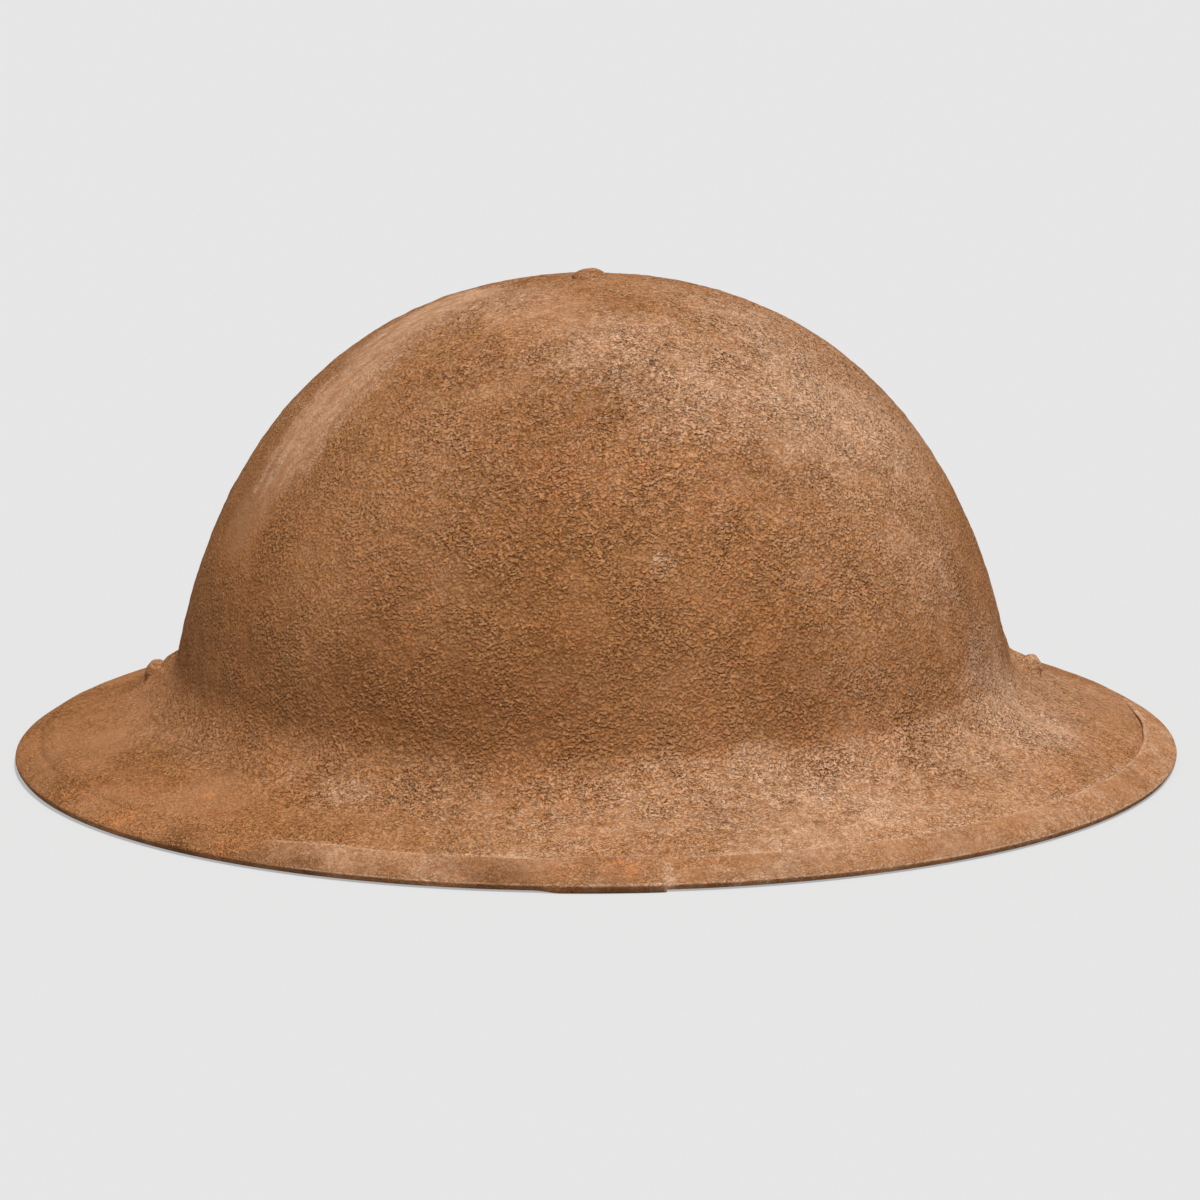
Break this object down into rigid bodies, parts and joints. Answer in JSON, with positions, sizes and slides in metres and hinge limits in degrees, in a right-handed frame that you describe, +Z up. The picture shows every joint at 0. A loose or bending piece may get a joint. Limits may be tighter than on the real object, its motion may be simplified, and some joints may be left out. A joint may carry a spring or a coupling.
{
  "type": "brodie helmet",
  "caption": "Wide-brimmed pressed steel bowl helmet with folded rim, riveted leather and net liner on rubber spacers, and a buckled leather chinstrap on wire bails.",
  "frame": {"origin": "middle of the brim's outline, on the plane that the rim rests on", "axes": "+Z up through the crown, -Y to the front (the pictured side), +X to the wearer's left, which is the right of the picture"},
  "size_m": [0.2899, 0.3086, 0.1224],
  "materials": {
    "rusty_steel": "rough sand-textured paint, rusted brown all over",
    "dark_steel": "plain steel, darkened and lightly rusted",
    "leather": "brown vegetable-tanned leather, worn",
    "oilcloth": "black oilcloth with a dull sheen",
    "felt": "grey-brown wool felt",
    "cotton": "unbleached cotton twine",
    "rubber": "dark rubber tube, dulled by age"
  },
  "bodies": {
    "helmet": {"shell": "rusty_steel", "rim": "rusty_steel", "crown_rivet": "rusty_steel", "crown_washer": "dark_steel", "cross_strap_1": "leather", "cross_strap_2": "leather", "crown_pad": "felt", "outer_band": "leather", "sweatband": "oilcloth", "net": "cotton", "net_drawstring": "cotton", "spacer_01": "rubber", "spacer_02": "rubber", "spacer_03": "rubber", "spacer_04": "rubber", "spacer_05": "rubber", "spacer_06": "rubber", "spacer_07": "rubber", "spacer_08": "rubber", "spacer_09": "rubber", "spacer_10": "rubber", "spacer_11": "rubber", "spacer_12": "rubber", "lug_left": "dark_steel", "lug_right": "dark_steel", "lug_rivet_left": "rusty_steel", "lug_rivet_right": "rusty_steel"},
    "bail_left": {"bail_left": "dark_steel"},
    "bail_right": {"bail_right": "dark_steel"},
    "buckle_half": {"buckle_strap": "leather", "buckle_strap_rivets": "dark_steel"},
    "tongue_half": {"tongue_strap": "leather", "tongue_strap_rivet": "dark_steel"},
    "buckle_frame": {"buckle_frame": "dark_steel"},
    "buckle_prong": {"buckle_prong": "dark_steel"},
    "strap_keeper": {"strap_keeper": "leather"}
  },
  "joints": [
    {"name": "bail_left_swing", "type": "hinge", "parent": "helmet", "child": "bail_left", "pos_m": [-0.10068, 0.01844, 0.01771], "axis": [-0.1493, -0.9888, 0], "range_deg": [-15, 25]},
    {"name": "bail_right_swing", "type": "hinge", "parent": "helmet", "child": "bail_right", "pos_m": [0.09924, 0.01844, 0.01771], "axis": [-0.1493, 0.9888, 0], "range_deg": [-15, 25]},
    {"name": "buckle_half_drop", "type": "hinge", "parent": "bail_left", "child": "buckle_half", "pos_m": [-0.10068, 0.01844, 0.00571], "axis": [0.1493, 0.9888, 0], "range_deg": [0, 100]},
    {"name": "tongue_half_drop", "type": "hinge", "parent": "bail_right", "child": "tongue_half", "pos_m": [0.09924, 0.01844, 0.00571], "axis": [0.1493, -0.9888, 0], "range_deg": [0, 100]},
    {"name": "buckle_tilt", "type": "hinge", "parent": "buckle_half", "child": "buckle_frame", "pos_m": [0.04093, 0.02892, 0.00555], "axis": [0.0738, -0.9973, 0], "range_deg": [0, 45]},
    {"name": "prong_lift", "type": "hinge", "parent": "buckle_frame", "child": "buckle_prong", "pos_m": [0.04093, 0.02892, 0.00555], "axis": [0.0738, -0.9973, 0], "range_deg": [0, 90]},
    {"name": "keeper_slide", "type": "slide", "parent": "buckle_half", "child": "strap_keeper", "axis": [-0.9973, -0.0738, 0], "range_m": [0, 0.015]}
  ]
}
